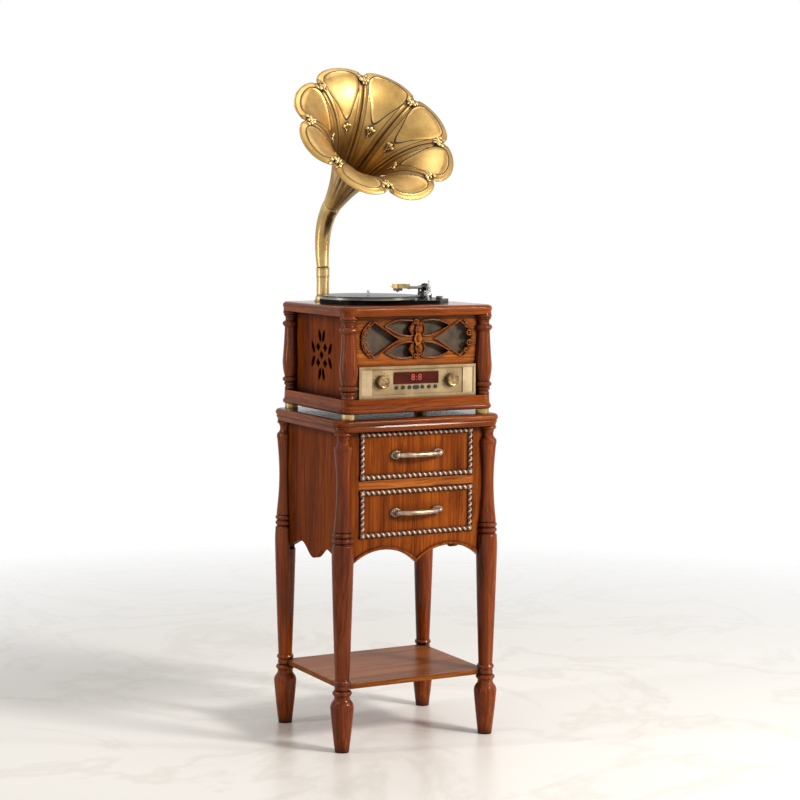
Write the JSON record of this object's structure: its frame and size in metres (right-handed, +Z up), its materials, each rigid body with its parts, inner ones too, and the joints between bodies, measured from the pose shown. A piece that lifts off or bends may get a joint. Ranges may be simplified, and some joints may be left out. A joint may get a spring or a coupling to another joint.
{
  "type": "floor-standing horn record player",
  "caption": "Floor-standing wooden record player with a petalled brass horn, a tonearm and a radio, on a turned-leg stand with drawers and a lower shelf.",
  "frame": {"origin": "on the floor, midway between the stand's four legs", "axes": "+Z up, the front with the drawers and the radio faces -Y, +X to the right seen from the front"},
  "size_m": [0.5199, 0.4293, 1.6146],
  "materials": {
    "wood": "glossy red-brown lacquer over vertical grain",
    "dark_wood": "dark carved wood with pale rubbed highlights",
    "pale_wood": "satin, unstained",
    "bronze": "antique bronze, rubbed",
    "brass": "antique brass, satin with dark patina in the grooves",
    "champagne": "brushed champagne gold",
    "cream": "satin cream",
    "display": "dark red, glossy",
    "cloth": "dark woven speaker cloth",
    "black": "satin black",
    "chassis": "plain",
    "aluminium": "bright, lightly brushed",
    "steel": "polished",
    "vinyl": "glossy black",
    "belt": "matt"
  },
  "bodies": {
    "cabinet": {"stand_legs": "wood", "stand_top": "wood", "stand_side_panels": "wood", "stand_back_panel": "wood", "front_stiles": "wood", "middle_rail": "wood", "front_apron": "wood", "drawer_runners": "pale_wood", "lower_shelf": "wood", "case_feet": "brass", "case_base": "wood", "case_columns": "wood", "case_side_panels": "wood", "case_front_panel": "wood", "grille_cloths": "cloth", "case_back_panel": "wood", "case_top": "wood", "speakers": "black", "tuner_chassis": "chassis", "faceplate": "champagne", "end_plates": "cream", "display_window": "display", "rear_sockets": "black", "deck_plate": "black", "motor": "steel", "drive_belt": "belt", "tonearm_base": "black", "arm_rest": "steel", "horn_socket": "brass"},
    "upper_drawer": {"upper_drawer_box": "pale_wood", "upper_drawer_front": "wood", "upper_drawer_moulding": "dark_wood", "upper_drawer_handle": "bronze"},
    "lower_drawer": {"lower_drawer_box": "pale_wood", "lower_drawer_front": "wood", "lower_drawer_moulding": "dark_wood", "lower_drawer_handle": "bronze"},
    "volume": {"volume_knob": "champagne"},
    "tuning": {"tuning_knob": "champagne"},
    "turntable": {"platter": "aluminium", "record": "vinyl", "spindle": "steel"},
    "pulley": {"motor_pulley": "brass"},
    "arm_mount": {"tonearm_gimbal": "steel"},
    "arm": {"tonearm_tube": "aluminium", "headshell": "aluminium", "cartridge": "vinyl", "counterweight": "steel"},
    "cue": {"cue_lever": "steel"},
    "speed": {"speed_knob": "steel"},
    "horn": {"horn_pipe": "brass", "horn_neck": "brass", "horn_bell": "brass"},
    "press_1": {"button_1": "black"},
    "press_2": {"button_2": "black"},
    "press_3": {"button_3": "black"},
    "press_4": {"button_4": "black"},
    "press_5": {"button_5": "black"},
    "press_6": {"button_6": "black"},
    "press_7": {"button_7": "black"}
  },
  "joints": [
    {"name": "upper_drawer_slide", "type": "slide", "parent": "cabinet", "child": "upper_drawer", "axis": [0, -1, 0], "range_m": [0, 0.2]},
    {"name": "lower_drawer_slide", "type": "slide", "parent": "cabinet", "child": "lower_drawer", "axis": [0, -1, 0], "range_m": [0, 0.2]},
    {"name": "volume_turn", "type": "hinge", "parent": "cabinet", "child": "volume", "pos_m": [-0.097, -0.16, 0.875], "axis": [0, -1, 0], "range_deg": [-150, 150]},
    {"name": "tuning_turn", "type": "hinge", "parent": "cabinet", "child": "tuning", "pos_m": [0.09, -0.16, 0.875], "axis": [0, -1, 0], "continuous": true},
    {"name": "platter_spin", "type": "hinge", "parent": "cabinet", "child": "turntable", "pos_m": [-0.05, 0, 1.0615], "axis": [0, 0, -1], "continuous": true},
    {"name": "pulley_spin", "type": "hinge", "parent": "cabinet", "child": "pulley", "pos_m": [0.00515, 0.05515, 1.0615], "axis": [0, 0, -1], "continuous": true},
    {"name": "arm_swing", "type": "hinge", "parent": "cabinet", "child": "arm_mount", "pos_m": [0.13794, 0.0684, 1.086], "axis": [0, 0, 1], "range_deg": [-8.9, 17.2]},
    {"name": "arm_lift", "type": "hinge", "parent": "arm_mount", "child": "arm", "pos_m": [0.13794, 0.0684, 1.086], "axis": [0.7639, -0.6453, 0], "range_deg": [0, 2.1]},
    {"name": "cue_turn", "type": "hinge", "parent": "cabinet", "child": "cue", "pos_m": [0.14, 0.041, 1.0685], "axis": [1, 0, 0], "range_deg": [0, 60]},
    {"name": "speed_turn", "type": "hinge", "parent": "cabinet", "child": "speed", "pos_m": [0.128, -0.032, 1.0615], "axis": [0, 0, 1], "range_deg": [-30, 30]},
    {"name": "horn_swivel", "type": "hinge", "parent": "cabinet", "child": "horn", "pos_m": [-0.105, 0.138, 1.053], "axis": [0, 0, 1], "range_deg": [-90, 90]},
    {"name": "press_1_slide", "type": "slide", "parent": "cabinet", "child": "press_1", "axis": [0, 1, 0], "range_m": [0, 0.002], "stiffness_N_per_m": 400, "springref_m": -0.001},
    {"name": "press_2_slide", "type": "slide", "parent": "cabinet", "child": "press_2", "axis": [0, 1, 0], "range_m": [0, 0.002], "stiffness_N_per_m": 400, "springref_m": -0.001},
    {"name": "press_3_slide", "type": "slide", "parent": "cabinet", "child": "press_3", "axis": [0, 1, 0], "range_m": [0, 0.002], "stiffness_N_per_m": 400, "springref_m": -0.001},
    {"name": "press_4_slide", "type": "slide", "parent": "cabinet", "child": "press_4", "axis": [0, 1, 0], "range_m": [0, 0.002], "stiffness_N_per_m": 400, "springref_m": -0.001},
    {"name": "press_5_slide", "type": "slide", "parent": "cabinet", "child": "press_5", "axis": [0, 1, 0], "range_m": [0, 0.002], "stiffness_N_per_m": 400, "springref_m": -0.001},
    {"name": "press_6_slide", "type": "slide", "parent": "cabinet", "child": "press_6", "axis": [0, 1, 0], "range_m": [0, 0.002], "stiffness_N_per_m": 400, "springref_m": -0.001},
    {"name": "press_7_slide", "type": "slide", "parent": "cabinet", "child": "press_7", "axis": [0, 1, 0], "range_m": [0, 0.002], "stiffness_N_per_m": 400, "springref_m": -0.001}
  ],
  "couplings": [
    {"joint": "pulley_spin", "follows": "platter_spin", "ratio": 11},
    {"joint": "cue_turn", "follows": "arm_lift", "ratio": 28.571}
  ]
}
